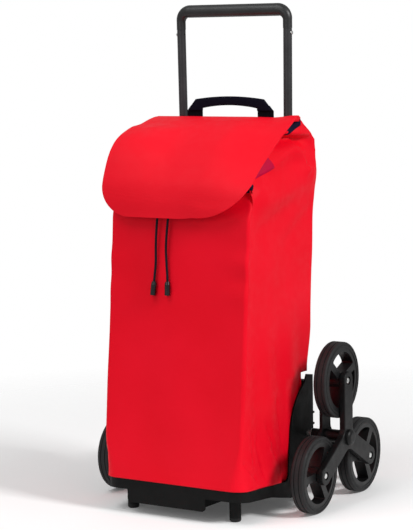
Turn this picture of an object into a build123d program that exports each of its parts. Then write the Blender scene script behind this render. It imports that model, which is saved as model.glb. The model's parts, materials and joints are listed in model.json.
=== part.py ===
from build123d import *
import math
import os

# Stair-climbing shopping trolley, in millimetres.
# +Z is up, -Y is the front of the bag, and the wheel clusters stand at +X and -X.
# The origin is on the floor, below the middle of the trolley's box.

# ---- driving dimensions ----
HEIGHT = 1000.0          # floor to the top of the grip
WHEEL_R = 76.5           # tyre's outer radius
STAR_R = 115.5           # from the main axle to each wheel's pin
AXLE_Y = 48.5            # main axle, in the plane of the two frame tubes
AXLE_Z = WHEEL_R + STAR_R * math.sin(math.radians(30))
AXLE_R = 6.0
RUN_GAP = 0.05           # radial clearance of a running fit
FREE_GAP = 0.4           # clearance between pieces that move past each other

TYRE_IN_X = 212.0        # tyre's inboard face
TYRE_OUT_X = 239.0
RIM_R = 65.0             # tyre's seat on the rim
WINDOW_R = 56.5          # outer radius of the openings between the spokes
WHEEL_HUB_R = 16.0
SPOKE_W = 15.0
PIN_R = 5.0              # wheel pin
BUSH_R = 8.0             # outside of a wheel's bush

STAR_PLATE_T = 12.0      # outer star plate
STAR_OUT_X = 253.0       # its outside face
STAR_IN_X = 195.0        # inboard face of the inner star plate
STAR_IN_T = 7.0
STAR_BOSS_X = 172.0      # inboard end of the inner plate's boss
STAR_BUSH_R = 8.5
ARM_W = 36.0
ARM_END_R = 18.5
CROTCH_R = 20.0
CAP_R = 16.0
CAP_OUT_X = 261.5

TUBE_R = 8.8
TUBE_WALL = 1.2
TUBE_X = 116.5           # tube centre at the height of the axle
TUBE_SPLAY = 0.009       # outward run per unit of height
TUBE_BOTTOM = 60.0
TUBE_TOP = 950.0
SOCKET_R = 12.4          # boss of the base moulding round each tube
SOCKET_TOP = 252.0
GRIP_R = 12.7            # the grip's bar
GRIP_LEG_R = 9.3
GRIP_BEND_R = 20.0
SPIGOT_BOTTOM = 905.0    # the grip's spigots reach down to here inside the tubes
SCREW_Z = 941.0
SCREW_R = 2.05

TRAY_X = 159.5           # half width of the base moulding
TRAY_FRONT_Y = -219.5
TRAY_REAR_Y = 72.5
TRAY_WALL = 3.0
TRAY_CORNER_R = 32.0
RIM_Z = 69.0             # top of the tray's front wall
RIM_SLOPE = 0.089        # the rim falls towards the axle
FLOOR_Z = 56.0           # inside floor of the tray, at the front
BRACKET_IN_X = 102.0     # the axle brackets run from here to the tray's sides
BRACKET_FRONT_Y = -45.0
BRACKET_Z = 54.0         # underside of the brackets
TOE_LEFT_X = -105.0      # the plate under the front wall reaches further to the left
TOE_RIGHT_X = 74.0
TOE_TOP_Z = 52.0
TOE_BOTTOM_Z = 22.0
RIB_X = 69.0             # stiffening ribs under the floor
LEAN = 0.096             # the bag leans back by this much per unit of height

BAG_X = 156.0
BAG_FRONT_Y = -(AXLE_Y + STAR_R * math.cos(math.radians(30)) + WHEEL_R)
BAG_BACK_Y = 35.5
BAG_WALL = 3.0
BAG_CORNER_R = 14.0
BAG_FOOT_Z = RIM_Z + 1.5  # height where the leaning front panel meets BAG_FRONT_Y
MOUTH_FRONT_Z = 645.0
YOKE_Z = 769.5           # top of the fixed panel behind the mouth
YOKE_FRONT_Y = 8.0
MOUTH_END_Z = 756.0      # top of the mouth's binding, where it meets the fixed panel
BINDING_W = 12.0
SLEEVE_IN_X = 104.0      # the rear corner sleeves run from here to the bag's sides
SLEEVE_WALL = 2.2

FLAP_X = 165.0
FLAP_T = 3.2
FLAP_HEM_Z = 589.0
FLAP_CORNER_R = 100.0
HINGE_Y = 20.0
HINGE_Z = 774.0

STRAP_Y = 28.5
STRAP_T = 2.4

CORD_D = 4.8
EYELET_X = (-38.0, -14.0)
EYELET_Z = 624.0
TIP_R = 5.5
TIP_L = 27.0

FOOT_X = 118.1
FOOT_Y = -178.3
FOOT_R = 11.5
FOOT_TOP_Z = 46.0
PAD_H = 8.0

SIDES = {"left": -1, "right": 1}
ARMS = {"top": 90, "front": 210, "rear": 330}
SPOKE_TURN = {
    ("right", "front"): 60,
    ("right", "rear"): 56,
    ("right", "top"): 21,
    ("left", "front"): 33,
    ("left", "rear"): 100,
    ("left", "top"): 75,
}

os.makedirs("parts", exist_ok=True)


def save(part, label):
    part.label = label
    export_step(part, f"parts/{label}.step")


def save_pair(part, stem):
    """Write a right-hand piece and its mirror image."""
    save(part, f"{stem}_right")
    with BuildPart() as other:
        mirror(part, about=Plane.YZ)
    save(other.part, f"{stem}_left")


def cross_plane(x, y=AXLE_Y, z=AXLE_Z):
    """A plane square to the axle: its own x runs along +Y and its y along +Z."""
    return Plane((x, y, z), x_dir=(0, 1, 0), z_dir=(1, 0, 0))


def front_y(z):
    """The bag's front panel at height z."""
    return BAG_FRONT_Y + LEAN * (z - BAG_FOOT_Z)


def tray_floor(y):
    return FLOOR_Z - LEAN * (y - TRAY_FRONT_Y)


def rim_height(y):
    return RIM_Z - RIM_SLOPE * (y - TRAY_FRONT_Y)


def tube_x(z):
    return TUBE_X + TUBE_SPLAY * (z - AXLE_Z)


def tube_plane(z):
    """A plane square to the right-hand tube at height z."""
    return Plane((tube_x(z), AXLE_Y, z), x_dir=(0, 1, 0), z_dir=(TUBE_SPLAY, 0, 1))


def hub_place(arm):
    angle = math.radians(ARMS[arm])
    return AXLE_Y + STAR_R * math.cos(angle), AXLE_Z + STAR_R * math.sin(angle)


# ---- base moulding ----
with BuildPart() as base:
    with BuildSketch(Plane.YZ):
        with BuildLine():
            skirt = Polyline(
                (-44, rim_height(-44)),
                (TRAY_FRONT_Y, RIM_Z),
                (TRAY_FRONT_Y, 48),
                (-110, 36),
                (-28, 16),
                (26, 16),
            )
            heel = ThreePointArc(skirt @ 1, (60, 36), (TRAY_REAR_Y, 74))
            back = Polyline(heel @ 1, (TRAY_REAR_Y, 251), (46, 256), (37, 240))
            ear = ThreePointArc(back @ 1, (-4, 204), (-26, 140))
            Line(ear @ 1, (-35, 75))
            ThreePointArc((-35, 75), (-37, 60), skirt @ 0)
        make_face()
    extrude(amount=TRAY_X, both=True)
    front = base.faces().sort_by(Axis.Y)[0]
    fillet(front.edges().filter_by(Axis.Z), TRAY_CORNER_R)
    # the recess that the bag stands in, open at the top between the two ears
    with BuildSketch(Plane.YZ):
        with BuildLine():
            Polyline(
                (TRAY_FRONT_Y + TRAY_WALL, tray_floor(TRAY_FRONT_Y + TRAY_WALL)),
                (BAG_BACK_Y + 0.5, tray_floor(BAG_BACK_Y + 0.5)),
                (BAG_BACK_Y + 0.5, 300),
                (TRAY_FRONT_Y + TRAY_WALL, 300),
                close=True,
            )
        make_face()
    recess = extrude(amount=TRAY_X - TRAY_WALL, both=True, mode=Mode.PRIVATE)
    upright = recess.faces().sort_by(Axis.Y)[0].edges().filter_by(Axis.Z)
    add(recess.fillet(TRAY_CORNER_R - TRAY_WALL, upright), mode=Mode.SUBTRACT)
    # the hollow underside, which leaves a skirt all round
    with BuildSketch(Plane.YZ):
        with BuildLine():
            Polyline(
                (TRAY_FRONT_Y + TRAY_WALL, -10),
                (TRAY_REAR_Y - TRAY_WALL, -10),
                (TRAY_REAR_Y - TRAY_WALL, tray_floor(BAG_BACK_Y) - TRAY_WALL),
                (BAG_BACK_Y, tray_floor(BAG_BACK_Y) - TRAY_WALL),
                (TRAY_FRONT_Y + TRAY_WALL, tray_floor(TRAY_FRONT_Y) - TRAY_WALL),
                close=True,
            )
        make_face()
    hollow = extrude(amount=TRAY_X - TRAY_WALL, both=True, mode=Mode.PRIVATE)
    upright = hollow.faces().sort_by(Axis.Y)[0].edges().filter_by(Axis.Z)
    add(hollow.fillet(TRAY_CORNER_R - TRAY_WALL, upright), mode=Mode.SUBTRACT)
    # the pocket between the ears, behind the bag, open to the rear
    pocket_z = tray_floor(BAG_BACK_Y)
    with BuildSketch(Plane.XY.offset(pocket_z)):
        with Locations((0, BAG_BACK_Y + 0.5 + TRAY_WALL)):
            Rectangle(2 * (TRAY_X - TRAY_WALL), 60, align=(Align.CENTER, Align.MIN))
    extrude(amount=300, mode=Mode.SUBTRACT)
    # a socket for each frame tube, tied to the ear and to the rear wall by ribs
    for side in SIDES.values():
        with BuildSketch(Plane.XY.offset(pocket_z)):
            with Locations((side * tube_x(pocket_z), AXLE_Y)):
                Circle(SOCKET_R)
        extrude(amount=SOCKET_TOP - pocket_z, dir=(side * TUBE_SPLAY, 0, 1))
        for rib_z in (70, AXLE_Z, 200, 238):
            with BuildSketch(Plane.XY.offset(rib_z - 2)):
                with Locations((side * 141, 55)):
                    Rectangle(36, 32)
            extrude(amount=4)
        # lugs on the ear's rear edge
        for lug_z in (149, 172):
            with BuildSketch(Plane.XY.offset(lug_z - 2)):
                with Locations((side * (TRAY_X - 3), TRAY_REAR_Y + 1.5)):
                    Rectangle(6, 9)
            extrude(amount=4)
        # the tube's blind bore
        bore = Plane((side * tube_x(TUBE_BOTTOM), AXLE_Y, TUBE_BOTTOM),
                     x_dir=(0, 1, 0), z_dir=(side * TUBE_SPLAY, 0, 1))
        with BuildSketch(bore):
            Circle(TUBE_R + RUN_GAP)
        extrude(amount=240, mode=Mode.SUBTRACT)
        # boss and spigot for the foot
        with BuildSketch(Plane.XY.offset(FOOT_TOP_Z)):
            with Locations((side * FOOT_X, FOOT_Y)):
                Circle(FOOT_R)
        extrude(amount=5)
        with BuildSketch(Plane.XY.offset(FOOT_TOP_Z - 16)):
            with Locations((side * FOOT_X, FOOT_Y)):
                Circle(FOOT_R - 2.5)
        extrude(amount=18)
    # the plate under the front wall
    with BuildSketch(Plane.XZ.offset(-TRAY_FRONT_Y)) as toe:
        with Locations((TOE_LEFT_X, TOE_BOTTOM_Z)):
            Rectangle(
                TOE_RIGHT_X - TOE_LEFT_X, TOE_TOP_Z - TOE_BOTTOM_Z, align=(Align.MIN, Align.MIN)
            )
        fillet(toe.vertices().group_by(Axis.Y)[0], 8)
    extrude(amount=-TRAY_WALL)
    # stiffening ribs under the floor
    for rib_x in (-RIB_X, RIB_X):
        with BuildSketch(Plane.YZ.offset(rib_x - 1.5)):
            with BuildLine():
                Polyline(
                    (TRAY_FRONT_Y + 1, 30),
                    (20, 20),
                    (20, tray_floor(20) - 1),
                    (TRAY_FRONT_Y + 1, tray_floor(TRAY_FRONT_Y) - 1),
                    close=True,
                )
            make_face()
        extrude(amount=3)
    # the axle's bore, through both ears and both sockets
    with BuildSketch(cross_plane(-TRAY_X - 5)):
        Circle(AXLE_R + RUN_GAP)
    extrude(amount=2 * TRAY_X + 10, mode=Mode.SUBTRACT)

# each rear corner with its ear and tube socket is a bracket welded to the tray
room = Pos(BRACKET_IN_X, BRACKET_FRONT_Y, BRACKET_Z) * Box(
    80, 150, SOCKET_TOP, align=(Align.MIN, Align.MIN, Align.MIN)
)
with BuildPart() as axle_bracket:
    add(base.part)
    add(room, mode=Mode.INTERSECT)
save_pair(axle_bracket.part, "axle_bracket")

with BuildPart() as base_tray:
    add(base.part)
    add(room, mode=Mode.SUBTRACT)
    add(room.mirror(Plane.YZ), mode=Mode.SUBTRACT)
save(base_tray.part, "base_tray")

# ---- feet ----
with BuildPart() as foot:
    with BuildSketch(Plane.XY.offset(PAD_H)):
        with Locations((FOOT_X, FOOT_Y)):
            Circle(FOOT_R)
    extrude(amount=FOOT_TOP_Z - PAD_H)
    with BuildSketch(Plane.XY.offset(FOOT_TOP_Z - 17)):
        with Locations((FOOT_X, FOOT_Y)):
            Circle(FOOT_R - 2.4)
    extrude(amount=20, mode=Mode.SUBTRACT)
    with BuildSketch(Plane.XY.offset(PAD_H)):
        with Locations((FOOT_X, FOOT_Y)):
            Circle(4)
    extrude(amount=8, mode=Mode.SUBTRACT)
save_pair(foot.part, "foot")

with BuildPart() as foot_pad:
    with BuildSketch():
        with Locations((FOOT_X, FOOT_Y)):
            Circle(FOOT_R)
    extrude(amount=PAD_H)
    fillet(foot_pad.edges().group_by(Axis.Z)[0], 3.5)
    with BuildSketch(Plane.XY.offset(PAD_H)):
        with Locations((FOOT_X, FOOT_Y)):
            Circle(3.95)
    extrude(amount=7)
save_pair(foot_pad.part, "foot_pad")

# ---- axle ----
with BuildPart() as axle:
    with BuildSketch(cross_plane(-256)):
        Circle(AXLE_R)
    extrude(amount=512)
    chamfer(axle.edges().filter_by(GeomType.CIRCLE), 1)
save(axle.part, "axle")

# spring clips that keep each star on the axle
with BuildPart() as axle_clips:
    for side in SIDES.values():
        for clip_x, clip_r in ((169.5, 10), (253.6, 10.5)):
            with BuildSketch(cross_plane(side * clip_x - 0.7)):
                Circle(clip_r)
                Circle(AXLE_R + 0.02, mode=Mode.SUBTRACT)
            extrude(amount=1.4)
save(axle_clips.part, "axle_clips")

# ---- frame tubes ----
with BuildPart() as frame_tube:
    with BuildSketch(tube_plane(TUBE_BOTTOM)):
        Circle(TUBE_R)
        Circle(TUBE_R - TUBE_WALL, mode=Mode.SUBTRACT)
    extrude(amount=TUBE_TOP - TUBE_BOTTOM - 0.2)
    with BuildSketch(cross_plane(0)):
        Circle(AXLE_R + RUN_GAP)
    extrude(amount=200, mode=Mode.SUBTRACT)
    with BuildSketch(cross_plane(0, AXLE_Y, SCREW_Z)):
        Circle(SCREW_R + RUN_GAP)
    extrude(amount=200, mode=Mode.SUBTRACT)
save_pair(frame_tube.part, "frame_tube")

# ---- grip: one moulding, with a spigot inside the top of each tube ----
LEG_X = tube_x(TUBE_TOP)
BAR_Z = HEIGHT - GRIP_R
BEND_Z = BAR_Z - GRIP_BEND_R
with BuildPart() as handle_grip:
    with BuildSketch(Plane.XY.offset(TUBE_TOP)):
        with Locations((LEG_X, AXLE_Y)):
            Circle(GRIP_LEG_R)
    extrude(amount=BEND_Z - TUBE_TOP)
    # the section grows from the leg to the bar round the bend
    with BuildLine() as bend:
        bend_mid = GRIP_BEND_R * (1 - math.sqrt(0.5))
        ThreePointArc(
            (LEG_X, AXLE_Y, BEND_Z),
            (LEG_X - bend_mid, AXLE_Y, BAR_Z - bend_mid),
            (LEG_X - GRIP_BEND_R, AXLE_Y, BAR_Z),
        )
    with BuildSketch(Plane((LEG_X, AXLE_Y, BEND_Z), x_dir=(0, 1, 0), z_dir=(0, 0, 1))):
        Circle(GRIP_LEG_R)
    with BuildSketch(cross_plane(LEG_X - GRIP_BEND_R, AXLE_Y, BAR_Z)):
        Circle(GRIP_R)
    sweep(path=bend.wires()[0], multisection=True)
    with BuildSketch(Plane.YZ):
        with Locations((AXLE_Y, BAR_Z)):
            Circle(GRIP_R)
    extrude(amount=LEG_X - GRIP_BEND_R)
    with BuildSketch(tube_plane(SPIGOT_BOTTOM)):
        Circle(TUBE_R - TUBE_WALL - 0.1)
    extrude(amount=TUBE_TOP - SPIGOT_BOTTOM + 1)
    with BuildSketch(cross_plane(0, AXLE_Y, SCREW_Z)):
        Circle(SCREW_R + RUN_GAP)
    extrude(amount=200, mode=Mode.SUBTRACT)
    mirror(about=Plane.YZ)
save(handle_grip.part, "handle_grip")

# a screw in each side ties the tube to the grip's spigot
with BuildPart() as grip_screws:
    for side in SIDES.values():
        head = side * (tube_x(SCREW_Z) + TUBE_R + 0.2)
        with BuildSketch(Plane((head, AXLE_Y, SCREW_Z), x_dir=(0, 1, 0), z_dir=(side, 0, 0))):
            Circle(3.6)
        extrude(amount=1.6)
        with BuildSketch(Plane((head, AXLE_Y, SCREW_Z), x_dir=(0, 1, 0), z_dir=(-side, 0, 0))):
            Circle(SCREW_R)
        extrude(amount=14)
save(grip_screws.part, "grip_screws")


# ---- tri-wheel stars ----
def star_outline(shrink=0.0):
    """The three-armed outline, in the current sketch."""
    with PolarLocations(0, 3, start_angle=90):
        Rectangle(STAR_R, ARM_W - 2 * shrink, align=(Align.MIN, Align.CENTER))
    with PolarLocations(STAR_R, 3, start_angle=90):
        Circle(ARM_END_R - shrink)


def crotches(sketch):
    return sketch.vertices().sort_by_distance((0, 0, 0))[:3]


with BuildPart() as star_outer:
    with BuildSketch(cross_plane(STAR_OUT_X - STAR_PLATE_T)) as outline:
        star_outline()
        fillet(crotches(outline), CROTCH_R)
    extrude(amount=STAR_PLATE_T)
    fillet(star_outer.faces().sort_by(Axis.X)[-1].outer_wire().edges(), 1.8)
    # hollow back, with a boss left round each pin and round the axle
    with BuildSketch(cross_plane(STAR_OUT_X - STAR_PLATE_T)) as hollow_back:
        star_outline(shrink=3)
        fillet(crotches(hollow_back), CROTCH_R + 3)
        with PolarLocations(STAR_R, 3, start_angle=90):
            Circle(12, mode=Mode.SUBTRACT)
        Circle(14, mode=Mode.SUBTRACT)
    extrude(amount=STAR_PLATE_T - 4, mode=Mode.SUBTRACT)
    with BuildSketch(cross_plane(STAR_OUT_X - STAR_PLATE_T)):
        Circle(STAR_BUSH_R)
        with PolarLocations(STAR_R, 3, start_angle=90):
            Circle(PIN_R + 0.02)
    extrude(amount=STAR_PLATE_T, mode=Mode.SUBTRACT)
    with BuildSketch(cross_plane(STAR_OUT_X - 5)):
        with PolarLocations(STAR_R, 3, start_angle=90):
            Circle(8.2)
        Circle(CAP_R - 2.9)
    extrude(amount=5, mode=Mode.SUBTRACT)
save_pair(star_outer.part, "star_outer_plate")

with BuildPart() as star_inner:
    with BuildSketch(cross_plane(STAR_IN_X)) as outline:
        star_outline()
        fillet(crotches(outline), CROTCH_R)
    extrude(amount=STAR_IN_T)
    fillet(star_inner.faces().sort_by(Axis.X)[0].outer_wire().edges(), 1.5)
    with BuildSketch(cross_plane(STAR_BOSS_X)):
        Circle(11)
    extrude(amount=STAR_IN_X - STAR_BOSS_X + 1)
    with BuildSketch(cross_plane(STAR_BOSS_X)):
        Circle(STAR_BUSH_R)
        with PolarLocations(STAR_R, 3, start_angle=90):
            Circle(PIN_R + 0.02)
    extrude(amount=60, mode=Mode.SUBTRACT)
save_pair(star_inner.part, "star_inner_plate")

# plain bushes in the two star plates, which run on the axle
with BuildPart() as star_bushes:
    for start, length in ((STAR_BOSS_X, 30), (STAR_OUT_X - STAR_PLATE_T, 7)):
        with BuildSketch(cross_plane(start)):
            Circle(STAR_BUSH_R)
            Circle(AXLE_R + RUN_GAP, mode=Mode.SUBTRACT)
        extrude(amount=length)
save_pair(star_bushes.part, "star_bushes")

# distance tube between the two star plates
with BuildPart() as star_spacer:
    with BuildSketch(cross_plane(STAR_IN_X + STAR_IN_T)):
        Circle(13)
        Circle(9, mode=Mode.SUBTRACT)
    extrude(amount=STAR_OUT_X - STAR_PLATE_T - STAR_IN_X - STAR_IN_T)
save_pair(star_spacer.part, "star_spacer")

with BuildPart() as hub_cap:
    with BuildSketch(Plane((0, AXLE_Y, AXLE_Z), x_dir=(1, 0, 0), z_dir=(0, -1, 0))):
        with BuildLine():
            edge = Polyline(
                (STAR_OUT_X - 4.9, 11),
                (STAR_OUT_X - 4.9, 13),
                (STAR_OUT_X, 13),
                (STAR_OUT_X, CAP_R),
                (STAR_OUT_X + 4, CAP_R),
            )
            dome = ThreePointArc(edge @ 1, (CAP_OUT_X - 1.2, CAP_R - 3.4), (CAP_OUT_X, 9))
            Polyline(dome @ 1, (CAP_OUT_X, 0), (CAP_OUT_X - 2, 0), (CAP_OUT_X - 2, 11), edge @ 0)
        make_face()
    revolve(axis=Axis((0, AXLE_Y, AXLE_Z), (1, 0, 0)))
save_pair(hub_cap.part, "hub_cap")

# wheel pins with a domed head, and the nuts on their inboard ends
with BuildPart() as wheel_pins:
    for arm in ARMS:
        pin_y, pin_z = hub_place(arm)
        with BuildSketch(cross_plane(187, pin_y, pin_z)):
            Circle(PIN_R)
        extrude(amount=STAR_OUT_X - 5 - 187)
        with BuildSketch(cross_plane(STAR_OUT_X - 5, pin_y, pin_z)):
            Circle(6)
        pin_head = extrude(amount=4)
        fillet(pin_head.edges().group_by(Axis.X)[-1], 2.2)
save_pair(wheel_pins.part, "wheel_pins")

with BuildPart() as pin_nuts:
    for arm in ARMS:
        nut_y, nut_z = hub_place(arm)
        with BuildSketch(cross_plane(STAR_IN_X - 6, nut_y, nut_z)):
            RegularPolygon(8.5, 6, major_radius=False)
            Circle(PIN_R + 0.02, mode=Mode.SUBTRACT)
        extrude(amount=6)
save_pair(pin_nuts.part, "pin_nuts")


# ---- wheels ----
def tyre_part(arm):
    """Rubber tyre with two tread grooves and a groove round each sidewall."""
    hub_y, hub_z = hub_place(arm)
    middle = (TYRE_IN_X + TYRE_OUT_X) / 2
    with BuildPart() as tyre:
        with BuildSketch(Plane((0, hub_y, hub_z), x_dir=(1, 0, 0), z_dir=(0, -1, 0))) as section:
            with Locations((middle, (RIM_R + WHEEL_R) / 2)):
                Rectangle(TYRE_OUT_X - TYRE_IN_X, WHEEL_R - RIM_R)
            fillet(section.vertices().group_by(Axis.Y)[-1], 3.5)
            with Locations((middle - 5, WHEEL_R), (middle + 5, WHEEL_R)):
                Rectangle(1.8, 3, mode=Mode.SUBTRACT)
            with Locations((TYRE_IN_X, RIM_R + 5), (TYRE_OUT_X, RIM_R + 5)):
                Rectangle(1.4, 1.6, mode=Mode.SUBTRACT)
        revolve(axis=Axis((0, hub_y, hub_z), (1, 0, 0)))
    return tyre.part


def rim_part(arm, turn):
    """Moulded wheel: a ring, three deep spokes and a hub that reaches the inner plate."""
    hub_y, hub_z = hub_place(arm)
    with BuildPart() as rim:
        with BuildSketch(cross_plane(TYRE_IN_X + 0.8, hub_y, hub_z)) as face:
            Circle(RIM_R)
            Circle(WINDOW_R, mode=Mode.SUBTRACT)
            Circle(WHEEL_HUB_R)
            with PolarLocations(0, 3, start_angle=turn):
                Rectangle(WINDOW_R + 3, SPOKE_W, align=(Align.MIN, Align.CENTER))
            inner_corners = [v for v in face.vertices() if 10 < math.hypot(v.X, v.Y) < RIM_R - 2]
            fillet(inner_corners, 3)
        extrude(amount=TYRE_OUT_X - TYRE_IN_X - 1.6)
        with BuildSketch(cross_plane(STAR_IN_X + STAR_IN_T + FREE_GAP, hub_y, hub_z)):
            Circle(WHEEL_HUB_R - 2)
        hub_end = STAR_OUT_X - STAR_PLATE_T - FREE_GAP
        extrude(amount=hub_end - STAR_IN_X - STAR_IN_T - FREE_GAP)
        with BuildSketch(cross_plane(STAR_IN_X, hub_y, hub_z)):
            Circle(BUSH_R)
        extrude(amount=60, mode=Mode.SUBTRACT)
    return rim.part


def bush_part(arm):
    hub_y, hub_z = hub_place(arm)
    start = STAR_IN_X + STAR_IN_T + FREE_GAP
    with BuildPart() as bush:
        with BuildSketch(cross_plane(start, hub_y, hub_z)):
            Circle(BUSH_R)
            Circle(PIN_R + RUN_GAP, mode=Mode.SUBTRACT)
        extrude(amount=STAR_OUT_X - STAR_PLATE_T - FREE_GAP - start)
    return bush.part


for (side_name, arm_name), spoke_turn in SPOKE_TURN.items():
    pieces = {
        "tyre": tyre_part(arm_name),
        "rim": rim_part(arm_name, spoke_turn),
        "bush": bush_part(arm_name),
    }
    for stem, piece in pieces.items():
        if side_name == "left":
            with BuildPart() as mirrored:
                mirror(piece, about=Plane.YZ)
            piece = mirrored.part
        save(piece, f"{stem}_{side_name}_{arm_name}")


# ---- bag ----
def side_prism(points, half_x, corner_r=0.0):
    """A prism across the trolley from a side view, with its front uprights rounded."""
    with BuildPart() as prism:
        with BuildSketch(Plane.YZ):
            with BuildLine():
                Polyline(*points, close=True)
            make_face()
        extrude(amount=half_x, both=True)
        if corner_r:
            front_face = prism.faces().filter_by(lambda f: f.normal_at().Y < -0.9).sort_by(Axis.Y)[0]
            uprights = front_face.edges().filter_by(lambda e: abs(e.tangent_at(0.5).X) < 0.1)
            fillet(uprights, corner_r)
    return prism.part


def mouth_cut(drop):
    """Everything above the slanted mouth, lowered by drop."""
    with BuildPart() as cut:
        with BuildSketch(Plane.YZ):
            with BuildLine():
                low = (front_y(MOUTH_FRONT_Z), MOUTH_FRONT_Z - drop)
                high = (YOKE_FRONT_Y, MOUTH_END_Z - drop)
                ThreePointArc(low, (-96, 704 - drop), high)
                Polyline(high, (YOKE_FRONT_Y, 900), (-300, 900), (-300, low[1]), low)
            make_face()
        extrude(amount=200, both=True)
    return cut.part


def bag_block(inset):
    """The bag's upper body, shrunk by inset on every side wall."""
    low_front = BAG_FOOT_Z
    low_back = rim_height(BAG_BACK_Y) + 1.5
    return side_prism(
        [
            (front_y(low_front) + inset, low_front),
            (front_y(800) + inset, 800),
            (BAG_BACK_Y - inset, 800),
            (BAG_BACK_Y - inset, low_back),
        ],
        BAG_X - inset,
        BAG_CORNER_R - inset,
    )


def bag_foot(inset, lift, reach):
    """The part of the bag that stands inside the tray."""
    front = TRAY_FRONT_Y + TRAY_WALL + 0.3 + inset
    back = BAG_BACK_Y - inset
    return side_prism(
        [
            (front, tray_floor(front) + lift),
            (front, RIM_Z + reach),
            (back, rim_height(back) + reach),
            (back, tray_floor(back) + lift),
        ],
        BAG_X - inset,
        TRAY_CORNER_R - TRAY_WALL - inset,
    )


with BuildPart() as bag_shell:
    add(bag_block(0))
    add(bag_foot(0, 0.4, 2))
    add(bag_block(BAG_WALL), mode=Mode.SUBTRACT)
    add(bag_foot(BAG_WALL, 0.4 + BAG_WALL, 20), mode=Mode.SUBTRACT)
    add(mouth_cut(BINDING_W), mode=Mode.SUBTRACT)
    # nothing stands above the fixed yoke panel at the rear of the mouth
    with BuildSketch(Plane.XY.offset(YOKE_Z)):
        Rectangle(400, 400)
    extrude(amount=100, mode=Mode.SUBTRACT)
    with BuildSketch(Plane.XY.offset(YOKE_Z - BAG_WALL)):
        with Locations((0, YOKE_FRONT_Y)):
            Rectangle(2 * BAG_X, BAG_BACK_Y - YOKE_FRONT_Y, align=(Align.CENTER, Align.MIN))
    extrude(amount=BAG_WALL)
    # holes for the draw cord's two eyelets
    with BuildSketch(Plane((0, front_y(EYELET_Z), EYELET_Z), x_dir=(1, 0, 0), z_dir=(0, -1, LEAN))):
        with Locations([(x, 0) for x in EYELET_X]):
            Circle(4.4)
    extrude(amount=8, both=True, mode=Mode.SUBTRACT)
save(bag_shell.part, "bag_shell")

# stiff board that keeps the bag's bottom flat
board_front = TRAY_FRONT_Y + TRAY_WALL + BAG_WALL + 3
board_back = BAG_BACK_Y - BAG_WALL - 2
board_lift = 0.5 + BAG_WALL
save(
    side_prism(
        [
            (board_front, tray_floor(board_front) + board_lift),
            (board_front, tray_floor(board_front) + board_lift + 3),
            (board_back, tray_floor(board_back) + board_lift + 3),
            (board_back, tray_floor(board_back) + board_lift),
        ],
        BAG_X - BAG_WALL - 2,
        TRAY_CORNER_R - TRAY_WALL - BAG_WALL,
    ),
    "bag_board",
)

# tape folded over the raw edge of the mouth, on both sides and the front
with BuildPart() as mouth_binding:
    add(bag_block(-0.6))
    add(bag_block(BAG_WALL + 0.6), mode=Mode.SUBTRACT)
    add(mouth_cut(0), mode=Mode.SUBTRACT)
    with BuildPart(mode=Mode.PRIVATE) as band:
        add(mouth_cut(BINDING_W))
    add(band.part, mode=Mode.INTERSECT)
save(mouth_binding.part, "mouth_binding")

# metal eyelets where the draw cord leaves the front panel
with BuildPart() as cord_eyelets:
    with BuildSketch(Plane((0, front_y(EYELET_Z), EYELET_Z), x_dir=(1, 0, 0), z_dir=(0, -1, LEAN))):
        with Locations([(x, 0) for x in EYELET_X]):
            Circle(6.2)
            Circle(CORD_D / 2 + 0.4, mode=Mode.SUBTRACT)
    extrude(amount=0.9)
    with BuildSketch(Plane((0, front_y(EYELET_Z), EYELET_Z), x_dir=(1, 0, 0), z_dir=(0, 1, -LEAN))):
        with Locations([(x, 0) for x in EYELET_X]):
            Circle(4.3)
            Circle(CORD_D / 2 + 0.4, mode=Mode.SUBTRACT)
    extrude(amount=BAG_WALL + 0.8)
save(cord_eyelets.part, "cord_eyelets")


def sleeve_prism(inset, floor_z):
    """Side view of a rear corner sleeve: it follows the bag's leaning back and sloping shoulder."""
    with BuildPart() as prism:
        with BuildSketch(Plane.YZ.offset(SLEEVE_IN_X + inset)):
            with BuildLine():
                seat = BAG_BACK_Y + 0.1 + inset
                rear = Polyline(
                    (seat, YOKE_Z - inset),
                    (seat, floor_z),
                    (59 - inset, floor_z),
                    (76 - inset, 350),
                    (97.5 - inset, 600),
                )
                hip = ThreePointArc(rear @ 1, (106.5 - inset, 688), (99 - inset, 726 - inset))
                ThreePointArc(hip @ 1, (71 - inset * 0.4, 752.5 - inset), rear @ 0)
            make_face()
        extrude(amount=BAG_X - SLEEVE_IN_X - 2 * inset)
    return prism.part


# fabric sleeve sewn to each rear corner of the bag, which slides over a frame tube
with BuildPart() as bag_sleeve:
    add(sleeve_prism(0, 262))
    add(sleeve_prism(SLEEVE_WALL, 250), mode=Mode.SUBTRACT)
    with BuildSketch(tube_plane(255)):
        Circle(TUBE_R + 0.3)
    extrude(amount=600, mode=Mode.SUBTRACT)
save_pair(bag_sleeve.part, "bag_sleeve")

# blank tag on the side panel
with BuildPart() as side_tag:
    with BuildSketch(Plane.YZ.offset(BAG_X + 0.9)):
        with BuildLine():
            Polyline((-82, 698), (-74, 676), (-150, 657), close=True)
        make_face()
    extrude(amount=1)
save(side_tag.part, "side_tag")

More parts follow.
